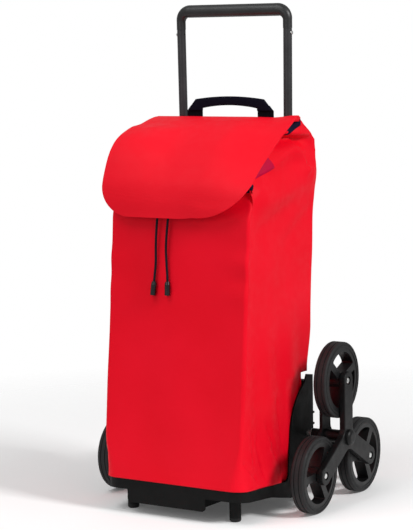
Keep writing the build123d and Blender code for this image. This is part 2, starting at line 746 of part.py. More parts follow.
# ---- flap ----
with BuildPart() as flap:
    with BuildSketch(Plane.YZ):
        with BuildLine():
            over = Spline(
                (HINGE_Y + 4, HINGE_Z + 1.6), (-18, 771), (-101, 737), (-168, 681), (-195.5, 634),
                tangents=[(-1, -0.04), (-0.05, -1)],
            )
            hang = Line(over @ 1, (-197, FLAP_HEM_Z))
            # the lining side follows the outside at the sheet's thickness
            stations = [0, 0.25, 0.5, 0.75, 1]
            lining = [over @ u + (over % u).rotate(Axis.Z, 90) * FLAP_T for u in stations]
            under = Spline(*lining, tangents=[over % 0, over % 1])
            Line(over @ 0, under @ 0)
            Polyline(under @ 1, (-197 + FLAP_T, FLAP_HEM_Z), hang @ 1)
        make_face()
    extrude(amount=FLAP_X, both=True)
    with BuildSketch(Plane.XZ.offset(-100)) as shape:
        with Locations((0, FLAP_HEM_Z)):
            Rectangle(2 * FLAP_X, 300, align=(Align.CENTER, Align.MIN))
        fillet(shape.vertices().group_by(Axis.Y)[0], FLAP_CORNER_R)
    extrude(amount=400, mode=Mode.INTERSECT)
save(flap.part, "flap")

# ---- carry strap: webbing, folded double across the crown ----
with BuildPart() as carry_strap:
    with BuildSketch(Plane.XZ.offset(-STRAP_Y - STRAP_T / 2)):
        with BuildLine():
            foot_z = YOKE_Z + 1
            outside = Polyline((64, foot_z), (101, foot_z), (99, 788), (80, 810))
            crest = ThreePointArc(outside @ 1, (0, 815.7), (-80, 810))
            inside = Polyline(crest @ 1, (-99, 788), (-101, foot_z), (-64, foot_z), (-63, 792))
            grip_edge = ThreePointArc(inside @ 1, (0, 797.6), (63, 792))
            Line(grip_edge @ 1, outside @ 0)
        make_face()
    extrude(amount=STRAP_T)
save(carry_strap.part, "carry_strap")

# ---- draw cord ends ----
CORD_ROUTES = {
    "left": [
        (-38, -172.0, 624), (-38, -181, 623.2), (-38.6, -187.4, 616), (-39.6, -188.6, 598),
        (-43, -189.6, 566), (-44.6, -190.6, 532), (-44, -191.8, 502), (-46.6, -193.4, 476), (-47.6, -194.4, 464),
    ],
    "right": [
        (-14, -172.0, 624), (-14, -181, 623.2), (-14.2, -187.4, 616), (-15, -188.8, 597),
        (-19, -189.8, 564), (-21.8, -190.4, 530), (-20, -191.6, 500), (-17.6, -193.2, 477), (-17.2, -194.2, 465),
    ],
}


def bend_radii(points):
    """Each arc is as large as its two runs allow."""
    radii = []
    for a, b, c in zip(points, points[1:], points[2:]):
        into = Vector(b) - Vector(a)
        out = Vector(c) - Vector(b)
        half_turn = math.radians(into.get_angle(out)) / 2
        radii.append(0.45 * min(into.length, out.length) / math.tan(half_turn))
    return radii


for cord_name, route in CORD_ROUTES.items():
    radii = bend_radii(route)
    with BuildPart() as cord:
        with BuildLine() as lay:
            FilletPolyline(*route, radius=radii)
        start_run = Vector(route[1]) - Vector(route[0])
        with BuildSketch(Plane(route[0], z_dir=start_run)):
            Circle(CORD_D / 2)
        sweep(path=lay.wires()[0])
    save(cord.part, f"cord_{cord_name}")
    length = lay.wires()[0].length
    share = cord.part.volume / (math.pi * CORD_D ** 2 / 4 * length)
    print(f"cord_{cord_name}: length {length:.1f}, volume ratio {share:.4f}")
    print("   radii", [round(r, 1) for r in radii])
    last_run = (Vector(route[-1]) - Vector(route[-2])).normalized()
    with BuildPart() as tip:
        with BuildSketch(Plane(route[-1], z_dir=last_run)):
            Circle(TIP_R - 1.3)
        with BuildSketch(Plane(Vector(route[-1]) + last_run * 6, z_dir=last_run)):
            Circle(TIP_R)
        loft()
        with BuildSketch(Plane(Vector(route[-1]) + last_run * 6, z_dir=last_run)):
            Circle(TIP_R)
        extrude(amount=TIP_L - 6)
    save(tip.part, f"cord_tip_{cord_name}")
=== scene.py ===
import json
import math

import bmesh
import bpy
import numpy as np
from mathutils import Matrix, Vector


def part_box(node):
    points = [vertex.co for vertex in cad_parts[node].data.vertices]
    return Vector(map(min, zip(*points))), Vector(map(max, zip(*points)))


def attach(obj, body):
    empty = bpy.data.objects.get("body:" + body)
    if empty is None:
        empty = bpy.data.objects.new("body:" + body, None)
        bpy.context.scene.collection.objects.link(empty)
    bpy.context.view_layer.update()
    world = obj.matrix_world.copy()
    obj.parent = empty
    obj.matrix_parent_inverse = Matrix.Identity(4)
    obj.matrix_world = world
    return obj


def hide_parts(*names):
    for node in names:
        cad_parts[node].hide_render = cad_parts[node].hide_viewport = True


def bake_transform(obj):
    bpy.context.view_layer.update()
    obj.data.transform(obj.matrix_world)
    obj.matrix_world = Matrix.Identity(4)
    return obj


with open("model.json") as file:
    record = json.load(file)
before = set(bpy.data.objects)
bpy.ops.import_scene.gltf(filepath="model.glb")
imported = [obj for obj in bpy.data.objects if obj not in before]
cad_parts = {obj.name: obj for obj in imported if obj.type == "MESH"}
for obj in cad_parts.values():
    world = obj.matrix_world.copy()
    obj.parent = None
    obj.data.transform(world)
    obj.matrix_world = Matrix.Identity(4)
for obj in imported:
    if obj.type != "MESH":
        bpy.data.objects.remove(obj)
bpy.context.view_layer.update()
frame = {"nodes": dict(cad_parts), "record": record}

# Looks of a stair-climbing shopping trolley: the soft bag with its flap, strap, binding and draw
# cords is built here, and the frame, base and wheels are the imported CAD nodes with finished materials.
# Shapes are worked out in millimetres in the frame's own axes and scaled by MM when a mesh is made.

MM = 0.001


def box_mm(node):
    """Lowest and highest corner of a CAD node, in millimetres."""
    low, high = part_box(node)
    return np.array(low) / MM, np.array(high) / MM


# ---- camera ----
CAMERA_TARGET = Vector((-0.0541, 0.0160, 0.4709))
CAMERA_AZIMUTH = math.radians(31.0)
CAMERA_ELEVATION = math.radians(7.29)
CAMERA_ROLL = math.radians(-1.02)
CAMERA_DISTANCE = 3.7524
CAMERA_LENS = 124.2


def make_camera():
    forward = Vector((
        -math.sin(CAMERA_AZIMUTH) * math.cos(CAMERA_ELEVATION),
        math.cos(CAMERA_AZIMUTH) * math.cos(CAMERA_ELEVATION),
        -math.sin(CAMERA_ELEVATION),
    ))
    data = bpy.data.cameras.new("camera")
    data.sensor_width = 36
    data.lens = CAMERA_LENS
    camera = bpy.data.objects.new("camera", data)
    bpy.context.scene.collection.objects.link(camera)
    turn = forward.to_track_quat("-Z", "Y").to_matrix().to_4x4() @ Matrix.Rotation(CAMERA_ROLL, 4, "Z")
    camera.matrix_world = Matrix.Translation(CAMERA_TARGET - forward * CAMERA_DISTANCE) @ turn
    bpy.context.scene.camera = camera


make_camera()

# ---- sizes read from the frame ----
shell_low, shell_high = box_mm("bag_shell")
tray_low = box_mm("base_tray")[0]
strap_low, strap_high = box_mm("carry_strap")
sleeve_low = box_mm("bag_sleeve_right")[0]

BAG_X = shell_high[0]
BAG_BACK_Y = shell_high[1]
FOOT_FRONT_Y = shell_low[1]
YOKE_Z = shell_high[2]
FLAP_X = box_mm("flap")[1][0]    # the flap's half width
TRAY_FRONT_Y = tray_low[1]
HEM_Z = sleeve_low[2]            # lower hem of the tube sleeves
SLEEVE_IN_X = sleeve_low[0]
LEAN = 0.096                     # the front panel leans back by this much per unit of height
RIM_Z = 69.0                     # top of the tray's front wall, which falls by RIM_SLOPE to the rear
RIM_SLOPE = 0.089
TRAY_FLOOR_Z = 56.0
MOUTH_FRONT_Z = 648.0
SKIN_T = 1.0
TUBE_R = 8.8
AXLE_Y = 48.5
AXLE_Z = 134.0
TUBE_X = 116.5                   # tube's distance from the middle at the axle
TUBE_SPLAY = 0.009               # and how much further out it is per unit of height
CORD_D = 4.8

# ---- materials ----


class Finish:
    """A Principled material with short calls for its procedural nodes, in object coordinates."""

    def __init__(self, name, roughness=0.5, metallic=0.0, specular=0.5):
        self.material = bpy.data.materials.new(name)
        self.material.use_nodes = True
        self.tree = self.material.node_tree
        self.shader = self.tree.nodes["Principled BSDF"]
        self.shader.inputs["Roughness"].default_value = roughness
        self.shader.inputs["Metallic"].default_value = metallic
        self.shader.inputs["Specular IOR Level"].default_value = specular
        self.place = self.node("ShaderNodeTexCoord").outputs["Object"]

    def node(self, kind, **settings):
        made = self.tree.nodes.new(kind)
        for key, value in settings.items():
            setattr(made, key, value)
        return made

    def wire(self, source, node, socket):
        if hasattr(source, "is_output"):
            self.tree.links.new(source, node.inputs[socket])
        else:
            node.inputs[socket].default_value = source

    def scaled(self, stretch):
        mapping = self.node("ShaderNodeMapping")
        self.wire(self.place, mapping, "Vector")
        mapping.inputs["Scale"].default_value = stretch
        return mapping.outputs["Vector"]

    def noise(self, size, detail=3.0, roughness=0.5, stretch=None, distortion=0.0):
        """Noise whose features are about size metres across."""
        made = self.node("ShaderNodeTexNoise")
        self.wire(self.scaled(stretch) if stretch else self.place, made, "Vector")
        made.inputs["Scale"].default_value = 1 / size
        made.inputs["Detail"].default_value = detail
        made.inputs["Roughness"].default_value = roughness
        made.inputs["Distortion"].default_value = distortion
        return made.outputs["Fac"]

    def cells(self, size, feature="F1", randomness=1.0):
        made = self.node("ShaderNodeTexVoronoi", feature=feature)
        self.wire(self.place, made, "Vector")
        made.inputs["Scale"].default_value = 1 / size
        made.inputs["Randomness"].default_value = randomness
        return made.outputs["Distance"]

    def bands(self, pitch, axis, distortion=0.0):
        """Even waves along one axis, pitch metres apart."""
        made = self.node("ShaderNodeTexWave", wave_type="BANDS", bands_direction=axis)
        self.wire(self.place, made, "Vector")
        made.inputs["Scale"].default_value = 2 * math.pi / (20 * pitch)
        made.inputs["Distortion"].default_value = distortion
        return made.outputs["Fac"]

    def math(self, operation, a, b=0.0, c=0.0):
        made = self.node("ShaderNodeMath", operation=operation)
        for socket, value in enumerate((a, b, c)):
            self.wire(value, made, socket)
        return made.outputs[0]

    def spread(self, source, low, high, out_low=0.0, out_high=1.0):
        made = self.node("ShaderNodeMapRange", clamp=True)
        for socket, value in zip(("Value", "From Min", "From Max", "To Min", "To Max"),
                                 (source, low, high, out_low, out_high)):
            self.wire(value, made, socket)
        return made.outputs["Result"]

    def mix(self, share, first, second, blend="MIX"):
        made = self.node("ShaderNodeMix", data_type="RGBA", blend_type=blend)
        self.wire(share, made, 0)
        self.wire(first, made, 6)
        self.wire(second, made, 7)
        return made.outputs[2]

    def colour(self, source):
        self.wire(source, self.shader, "Base Color")

    def roughness(self, source, low, high):
        self.wire(self.spread(source, 0.3, 0.7, low, high), self.shader, "Roughness")

    def bump(self, height, distance, strength=1.0):
        """Adds a bump layer, distance metres high, over the layers added before."""
        made = self.node("ShaderNodeBump")
        made.inputs["Strength"].default_value = strength
        made.inputs["Distance"].default_value = distance
        self.wire(height, made, "Height")
        below = self.shader.inputs["Normal"].links
        if below:
            self.wire(below[0].from_socket, made, "Normal")
        self.wire(made.outputs["Normal"], self.shader, "Normal")


def rgb(red, green, blue):
    """An sRGB colour given in 0..255 as the linear colour that a shader takes."""
    def linear(v):
        v /= 255
        return v / 12.92 if v <= 0.04045 else ((v + 0.055) / 1.055) ** 2.4
    return (linear(red), linear(green), linear(blue), 1.0)


def coated_fabric(name, body_colour, worn_colour, shade_colour):
    """Polyester cloth with a smooth PVC coat: the weave only just telegraphs through."""
    f = Finish(name, roughness=0.42, specular=0.10)
    broad = f.noise(0.16, detail=2)
    fine = f.noise(0.004, detail=4)
    tone = f.mix(f.spread(broad, 0.35, 0.7), shade_colour, body_colour)
    tone = f.mix(f.spread(fine, 0.62, 0.8, 0.0, 0.35), tone, worn_colour)
    f.colour(tone)
    f.roughness(f.noise(0.02, detail=3), 0.42, 0.58)
    level = f.math("ADD", f.bands(0.0011, "Y"), f.bands(0.0011, "Z"))
    threads = f.math("ADD", f.bands(0.0011, "X"), level)
    f.bump(threads, 0.00006)
    f.bump(f.noise(0.009, detail=3), 0.00018)
    f.bump(f.noise(0.05, detail=2), 0.0012, 0.5)
    return f.material


def lining_fabric():
    f = Finish("lining_fabric", roughness=0.8, specular=0.15)
    level = f.math("MAXIMUM", f.bands(0.0014, "X"), f.bands(0.0014, "Y"))
    weave = f.math("MULTIPLY", f.bands(0.0014, "Z"), level)
    f.colour(f.mix(f.spread(f.noise(0.03), 0.3, 0.7), rgb(168, 20, 34), rgb(190, 26, 40)))
    f.bump(weave, 0.00012)
    f.bump(f.noise(0.02, detail=3), 0.0004)
    return f.material


def webbing(name, dark, light):
    """Woven tape with a herring-bone of fine ribs."""
    f = Finish(name, roughness=0.75, specular=0.08)
    across = f.bands(0.0016, "X", distortion=0.6)
    up = f.bands(0.0011, "Z", distortion=0.6)
    ribs = f.math("MULTIPLY", across, up)
    f.colour(f.mix(f.spread(ribs, 0.1, 0.7), dark, light))
    f.roughness(f.noise(0.006), 0.62, 0.85)
    f.bump(ribs, 0.00035)
    f.bump(f.noise(0.0012, detail=2), 0.0001)
    return f.material


def tag_cloth():
    f = Finish("tag_cloth", roughness=0.5, specular=0.08)
    threads = f.math("MULTIPLY", f.bands(0.0007, "Y"), f.bands(0.0007, "Z"))
    f.colour(f.mix(f.spread(threads, 0.1, 0.8), rgb(176, 0, 52), rgb(196, 2, 64)))
    f.bump(threads, 0.0001)
    return f.material


def braid():
    f = Finish("braid", roughness=0.7, specular=0.15)
    plait = f.cells(0.0017, randomness=0.25)
    f.colour(f.mix(f.spread(plait, 0.1, 0.6), rgb(28, 27, 44), rgb(8, 8, 16)))
    f.bump(plait, -0.0004)
    return f.material


def moulded(name, low, high, grain, depth, roughness=(0.4, 0.55), specular=0.4, scuff=None):
    """Injection-moulded plastic: a fine spark-eroded grain over faint flow marks."""
    f = Finish(name, specular=specular)
    flow = f.noise(0.06, detail=2, stretch=(1, 1, 0.35))
    tone = f.mix(f.spread(flow, 0.3, 0.7), low, high)
    if scuff:
        tone = f.mix(f.spread(f.noise(0.011, detail=5, roughness=0.7), 0.66, 0.8, 0.0, 0.5), tone, scuff)
    f.colour(tone)
    f.roughness(f.noise(0.015, detail=3), *roughness)
    f.bump(f.cells(grain), depth)
    f.bump(f.noise(grain * 3, detail=2), depth * 1.5)
    return f.material


def rubber(name, low, high, dust):
    f = Finish(name, specular=0.3)
    wear = f.noise(0.012, detail=5, roughness=0.65)
    tone = f.mix(f.spread(f.noise(0.05), 0.3, 0.7), low, high)
    f.colour(f.mix(f.spread(wear, 0.58, 0.78, 0.0, 0.45), tone, dust))
    f.roughness(wear, 0.5, 0.68)
    f.bump(f.noise(0.0012, detail=3), 0.00012)
    f.bump(f.noise(0.006, detail=2), 0.0002)
    return f.material


def powder_coat(name, low, high, roughness=(0.3, 0.42)):
    f = Finish(name, specular=0.5)
    f.colour(f.mix(f.spread(f.noise(0.03), 0.3, 0.7), low, high))
    f.roughness(f.noise(0.004, detail=2), *roughness)
    f.bump(f.noise(0.0011, detail=2), 0.00009)
    return f.material


def zinc():
    f = Finish("zinc", metallic=1.0)
    plate = f.spread(f.noise(0.004, detail=4), 0.3, 0.7)
    f.colour(f.mix(plate, rgb(196, 198, 200), rgb(236, 236, 232)))
    f.roughness(f.noise(0.002, detail=4), 0.22, 0.4)
    f.bump(f.noise(0.0008, detail=2), 0.00003)
    return f.material


def board():
    f = Finish("board", specular=0.2)
    f.colour(f.mix(f.spread(f.noise(0.003, detail=5), 0.35, 0.65), rgb(58, 56, 54), rgb(84, 80, 76)))
    f.roughness(f.noise(0.01), 0.75, 0.9)
    f.bump(f.noise(0.0016, detail=4), 0.0003)
    return f.material


bag_red = coated_fabric("bag_red", (0.82, 0.002, 0.017, 1), (0.86, 0.005, 0.024, 1), (0.77, 0.001, 0.013, 1))
# the flap gets a paler copy of the bag's red cloth, with more green and blue: painted sheen on the flap
flap_red_painted_sheen = coated_fabric("flap_red_painted_sheen", (0.82, 0.006, 0.020, 1), (0.86, 0.010, 0.028, 1),
                         (0.77, 0.004, 0.016, 1))
lining_red = lining_fabric()
# one webbing in two copies: the crown's navy and a darker navy for the legs, which is painted shade on the legs
# below the fold
strap_navy = webbing("strap_navy", rgb(6, 6, 20), rgb(15, 15, 34))
leg_navy_painted_shade = webbing("leg_navy_painted_shade", rgb(4, 4, 9), rgb(11, 11, 22))
binding_navy = webbing("binding_navy", rgb(12, 12, 32), rgb(30, 30, 62))
tag_red = tag_cloth()
cord_navy = braid()
base_black = moulded("base_black", rgb(6, 7, 7), rgb(10, 11, 11), 0.0009, 0.0001, (0.5, 0.62), 0.14,
                     rgb(20, 21, 22))
wheel_black = moulded("wheel_black", rgb(16, 16, 17), rgb(24, 24, 25), 0.0007, 0.00006, (0.34, 0.48), 0.3)
star_grey = moulded("star_grey", rgb(10, 10, 11), rgb(15, 15, 16), 0.0007, 0.00006, (0.36, 0.48), 0.22,
                    rgb(30, 30, 32))
grip_black = moulded("grip_black", rgb(30, 30, 31), rgb(40, 40, 41), 0.0006, 0.00005, (0.34, 0.44), 0.45)
tip_black = moulded("tip_black", rgb(14, 12, 14), rgb(22, 19, 21), 0.0006, 0.00003, (0.22, 0.32), 0.5)
bush_white = moulded("bush_white", rgb(214, 212, 204), rgb(228, 226, 220), 0.0008, 0.00003, (0.3, 0.4), 0.5)
tyre_black = rubber("tyre_black", rgb(22, 22, 23), rgb(30, 30, 31), rgb(50, 49, 49))
pad_black = rubber("pad_black", rgb(14, 14, 15), rgb(20, 20, 21), rgb(40, 39, 39))
tube_black = powder_coat("tube_black", rgb(34, 34, 36), rgb(44, 44, 46))
zinc_bright = zinc()
board_grey = board()

SLOT_FINISH = {
    "tyre_rubber": tyre_black,
    "wheel_plastic": wheel_black,
    "base_plastic": base_black,
    "pad_rubber": pad_black,
    "star_plastic": star_grey,
    "bush_plastic": bush_white,
    "zinc_steel": zinc_bright,
    "tube_paint": tube_black,
    "grip_plastic": grip_black,
    "board_plastic": board_grey,
    "tip_plastic": tip_black,
    "bag_fabric": bag_red,
    "flap_fabric": flap_red_painted_sheen,
    "navy_webbing": binding_navy,
    "tag_fabric": tag_red,
    "navy_cord": cord_navy,
}


def finish_cad_nodes():
    for subpart in frame["record"]["subparts"]:
        node = frame["nodes"][subpart["node"]]
        node.data.materials.clear()
        node.data.materials.append(SLOT_FINISH[subpart["material_slot"]])


finish_cad_nodes()


# ---- mesh helpers ----


def add_piece(name, mesh, material, body):
    piece = bpy.data.objects.new(name, mesh)
    bpy.context.scene.collection.objects.link(piece)
    mesh.materials.append(material)
    for polygon in mesh.polygons:
        polygon.use_smooth = True
    if body:
        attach(piece, body)
    return piece


def grid_mesh(name, grids, closed_across=False, merge=0.02):
    """One mesh from point grids (rows, columns, 3) in millimetres, joined where they share an edge."""
    points, faces = [], []
    for grid in grids:
        rows, columns = grid.shape[:2]
        start = len(points)
        points.extend(map(tuple, (grid.reshape(-1, 3) * MM)))
        wrap = columns if closed_across else columns - 1
        for r in range(rows - 1):
            for c in range(wrap):
                a = start + r * columns + c
                b = start + r * columns + (c + 1) % columns
                faces.append((a, b, b + columns, a + columns))
    mesh = bpy.data.meshes.new(name)
    mesh.from_pydata(points, [], faces)
    made = bmesh.new()
    made.from_mesh(mesh)
    bmesh.ops.remove_doubles(made, verts=made.verts, dist=merge * MM)
    bmesh.ops.dissolve_degenerate(made, edges=made.edges, dist=merge * MM * 0.5)
    made.to_mesh(mesh)
    made.free()
    return mesh


def cap_ends(mesh):
    """Closes every open edge loop."""
    made = bmesh.new()
    made.from_mesh(mesh)
    bmesh.ops.holes_fill(made, edges=[e for e in made.edges if e.is_boundary], sides=0)
    bmesh.ops.recalc_face_normals(made, faces=made.faces)
    made.to_mesh(mesh)
    made.free()


def thicken(piece, depth, bevel=0.0):
    """Gives an open sheet its thickness, inwards from its outer face."""
    solid = piece.modifiers.new("thickness", "SOLIDIFY")
    solid.thickness = depth * MM
    solid.offset = -1
    solid.use_even_offset = True
    if bevel:
        rounded = piece.modifiers.new("edge", "BEVEL")
        rounded.width = bevel * MM
        rounded.segments = 2
        rounded.limit_method = "ANGLE"
        rounded.angle_limit = math.radians(60)
    return piece


def grid_normals(grid):
    """Outward unit normals of a grid whose rows go up and whose columns go anticlockwise seen from above."""
    up = np.gradient(grid, axis=0)
    along = np.gradient(grid, axis=1)
    normal = np.cross(along, up)
    return normal / np.maximum(np.linalg.norm(normal, axis=2, keepdims=True), 1e-9)


def smooth_step(value):
    value = np.clip(value, 0, 1)
    return value * value * (3 - 2 * value)


def bell(distance, width):
    return np.exp(-(distance / width) ** 2)


def smooth_curve(stations, values, at):
    """A curve through (station, value) pairs without overshoot between level neighbours."""
    stations, values = np.asarray(stations, float), np.asarray(values, float)
    slopes = np.gradient(values, stations)
    k = np.clip(np.searchsorted(stations, at) - 1, 0, len(stations) - 2)
    span = stations[k + 1] - stations[k]
    u = np.clip((at - stations[k]) / span, 0, 1)
    h1 = 2 * u ** 3 - 3 * u ** 2 + 1
    h2 = u ** 3 - 2 * u ** 2 + u
    h3 = -2 * u ** 3 + 3 * u ** 2
    h4 = u ** 3 - u ** 2
    return h1 * values[k] + h2 * span * slopes[k] + h3 * values[k + 1] + h4 * span * slopes[k + 1]


def soft_waves(u, v, seed, count=7, size=120.0):
    """A few gentle random waves over a sheet, about -1 to 1."""
    pick = np.random.default_rng(seed)
    total = np.zeros(np.broadcast(u, v).shape)
    for _ in range(count):
        angle = pick.uniform(0, math.pi)
        length = size * pick.uniform(0.6, 1.6)
        phase = pick.uniform(0, 2 * math.pi)
        total += np.sin((u * math.cos(angle) + v * math.sin(angle)) * 2 * math.pi / length + phase)
    return total / count * 1.6


# ---- bag: outer skin ----
CORNER_R = 5.0
FOOT_CORNER_R = 26.0
REAR_CORNER_R = 9.0
MOUTH_CURVE = ((-172, 648), (-96, 710), (-2, 749), (35.5, 770))
LEFT_RISE = 19.0
PULL_CURVE = ((-175, 11), (-135, 17), (-85, 23), (-30, 23), (-2, 14), (20, 8), (35.5, 0))
PULL_DEPTH = 44.0                # the draw cord gathers the cloth inwards over this depth
REAR_CURVE = ((262, 62.5), (350, 75.5), (600, 97.5), (675, 107), (705, 110), (727.6, 106),
              (740, 90), (755, 66), (765, 49), (771, 35))
EDGE_SET_BACK = 10.0             # the front edge is drawn back by this much near the mouth
EDGE_WAVE = 2.2                  # and it waves softly half-way up
EDGE_WAVE_Z = 490.0


def front_y(z):
    return FOOT_FRONT_Y + LEAN * (z - (RIM_Z + 1.5))


def edge_shift(z):
    """How far the upright front edge lies behind a straight line."""
    wave = EDGE_WAVE * np.sin((z - EDGE_WAVE_Z + 36) * 2 * math.pi / 70) * bell(z - EDGE_WAVE_Z, 60.0)
    return EDGE_SET_BACK * smooth_step((z - 585) / 36) + wave


def rim_height(y):
    return RIM_Z - RIM_SLOPE * (y - TRAY_FRONT_Y)


def mouth_height(y, side=1):
    y = np.maximum(y, MOUTH_CURVE[0][0])
    height = smooth_curve([p[0] for p in MOUTH_CURVE], [p[1] for p in MOUTH_CURVE], y)
    # on the left the cloth stands higher and holds the flap up
    if side > 0:
        return height
    return height + LEFT_RISE * bell(y + 92, 52.0) * smooth_step((y + 166) / 45)


def rear_y(z):
    return np.interp(z, [p[0] for p in REAR_CURVE], [p[1] for p in REAR_CURVE])


def pull_in(y, z, side=1):
    """How far the draw cord pulls the side wall inwards near its upper edge."""
    reach = smooth_curve([p[0] for p in PULL_CURVE], [p[1] for p in PULL_CURVE], y)
    near_edge = smooth_step((z - mouth_height(y, side) + PULL_DEPTH) / PULL_DEPTH)
    return reach * near_edge * (1 if side > 0 else 0.5)


def corner_r(z):
    return CORNER_R + (FOOT_CORNER_R - CORNER_R) * smooth_step(1 - (z - RIM_Z) / 95)


def line_distance(y, z, start, end):
    """Signed distance above the line from start to end, and the share of the way along it."""
    dy, dz = end[0] - start[0], end[1] - start[1]
    length = math.hypot(dy, dz)
    along = ((y - start[0]) * dy + (z - start[1]) * dz) / length ** 2
    above = ((z - start[1]) * dy - (y - start[0]) * dz) / length
    return above, along


def within(share, fade=0.12):
    """1 between 0 and 1, fading out just past both ends."""
    return smooth_step((share + fade) / fade) * smooth_step((1 + fade - share) / fade)


def crease(y, z, start, end, depth, below, above, fade=0.12):
    """A groove (or a ridge, with a negative depth) whose two flanks have their own widths."""
    distance, share = line_distance(y, z, start, end)
    width = np.where(distance < 0, below, above)
    return -depth * bell(distance, width) * within(share, fade)


def side_folds(y, z, side):
    """How far the side panel stands out from its flat plane."""
    shift = 0 if side > 0 else 14
    y = y + shift
    gusset_z = np.interp(y, [-31, 35, 99.6], [739, 731.4, 727.6])
    from_gusset = z - gusset_z
    reach = smooth_step((y + 60) / 40)
    reach = reach * (1 - smooth_step((y - 50) / 45))
    out = -19.0 * bell(from_gusset, np.where(from_gusset < 0, 17.0, 6.0)) * reach
    out = out + 3.0 * bell(from_gusset - 10, 9.0) * reach
    # facet behind a short ridge, below the gusset
    out = out + crease(y, z, (22.5, 724), (62, 676), -9.0, 20.0, 5.0, 0.25)
    out = out + crease(y, z, (55, 678), (92, 675), 5.0, 5.0, 12.0, 0.25)
    out = out + crease(y, z, (84, 722), (100, 690), 3.0, 7.0, 9.0, 0.4)
    # the long soft fold that crosses the panel under the flap's corner
    fold_z = smooth_curve([-175, -158, -71, 33, 107], [610, 616, 624, 645, 665], y)
    fold_width = np.where(z < fold_z, 26.0, 40.0)
    out = out + 9.0 * bell(z - fold_z, fold_width) * smooth_step((y + 160) / 50)
    out = out - 7.0 * bell(z - fold_z - 44, 22.0) * smooth_step((y + 150) / 40)
    out = out + crease(y, z, (-130, 566), (-20, 604), 3.0, 30.0, 15.0, 0.4)
    out = out + crease(y, z, (-20, 540), (70, 586), 3.0, 28.0, 14.0, 0.4)
    # the front edge stands a little proud as a fold
    out = out + 1.2 * bell(y - front_y(z), 12.0)
    # upright swags low on the panel
    low = smooth_step((440 - z) / 160)
    out = out + low * (2.8 * np.sin((y + 205 + 0.05 * z) * 2 * math.pi / 92) - 0.6)
    # small creases where the bag stands in the tray
    for start, end, depth in (
        ((-205, 120), (-168, 92), 2.8), ((-150, 150), (-128, 96), 3.2), ((-112, 175), (-84, 120), 3.6),
        ((-95, 128), (-60, 98), 2.6), ((-70, 215), (-52, 150), 2.8), ((-178, 170), (-170, 118), 2.0),
    ):
        out = out + crease(y, z, start, end, depth, 5.0, 8.0, 0.4)
    out = out + 0.9 * soft_waves(y, z, 3 if side > 0 else 4)
    # it is straighter along the rear edge
    out = out * (1 - 0.8 * smooth_step((y - 72) / 36))
    # it lies flat inside the base's ears and runs over the low rim in front of them
    ear = smooth_step((y + 62) / 16) * smooth_step((262 - z) / 14)
    out = out * (1 - ear) + np.minimum(out, -0.6) * ear
    rim = rim_height(y)
    sill = bell(np.maximum(z - rim, 0), 16.0) * (1 - smooth_step((y + 66) / 14))
    return out * (1 - 0.8 * sill) + 3.4 * sill


WALL_SHARE = np.concatenate([
    np.linspace(0, 1, 30)[:-1], 1 + np.linspace(0, 1, 9)[:-1], 2 + np.linspace(0, 1, 112),
])                               # front half panel 0 to 1, corner 1 to 2, side panel 2 to 3


def wall_grid(side, levels):
    """The front half panel, corner and side panel, from the middle of the front to the back seam."""
    share = WALL_SHARE
    rows = levels[:, None]

    def place(z):
        r = corner_r(z)
        front = front_y(z)
        turn = (np.clip(share, 1, 2) - 1) * math.pi / 2
        x = np.where(share < 1, share * (BAG_X - r), BAG_X - r + r * np.sin(turn))
        y = front + r - r * np.cos(turn)
        y = y + np.clip(share - 2, 0, 1) * (BAG_BACK_Y - front - r)
        return x, y

    z = np.full((len(levels), len(share)), 400.0)
    for _ in range(12):
        x, y = place(z)
        bottom_y = place(np.full_like(z, RIM_Z))[1]
        top_z = mouth_height(y, side)
        for _ in range(6):
            top_z = mouth_height(place(top_z)[1], side)
        bottom_z = rim_height(bottom_y) + 0.6
        z = bottom_z + rows * (top_z - bottom_z)
    x, y = place(z)
    # the upright front edge isn't quite straight
    near = np.where(share < 1, bell(BAG_X - x, 42.0), bell(y - front_y(z), 26.0))
    y = y + edge_shift(z) * near * (1 if side > 0 else 0.6)
    on_side = smooth_step((share - 1.3) / 0.7)
    x = x + side_folds(y, z, side) * np.where(share >= 1, on_side, 0)
    # the draw cord pulls the upper edge inwards all round the mouth
    corner = PULL_CURVE[0][1] * smooth_step((z - MOUTH_FRONT_Z + PULL_DEPTH) / PULL_DEPTH)
    x = x - np.where(share < 2, np.clip(share, 0, 1) * corner, pull_in(y, z, side))
    # the front panel is nearly smooth, with a slight hollow towards its edges
    on_front = 1 - smooth_step((share - 1) / 1.0)
    crown = 2.0 * bell(x, 90.0) * smooth_step((z - 90) / 120)
    belly = 1.2 * soft_waves(x * side, z, 11, size=190.0) + crown
    y = y - belly * smooth_step((z - 66) / 40) * on_front + corner * (share < 2)
    return np.stack([side * x, y, z], axis=2)


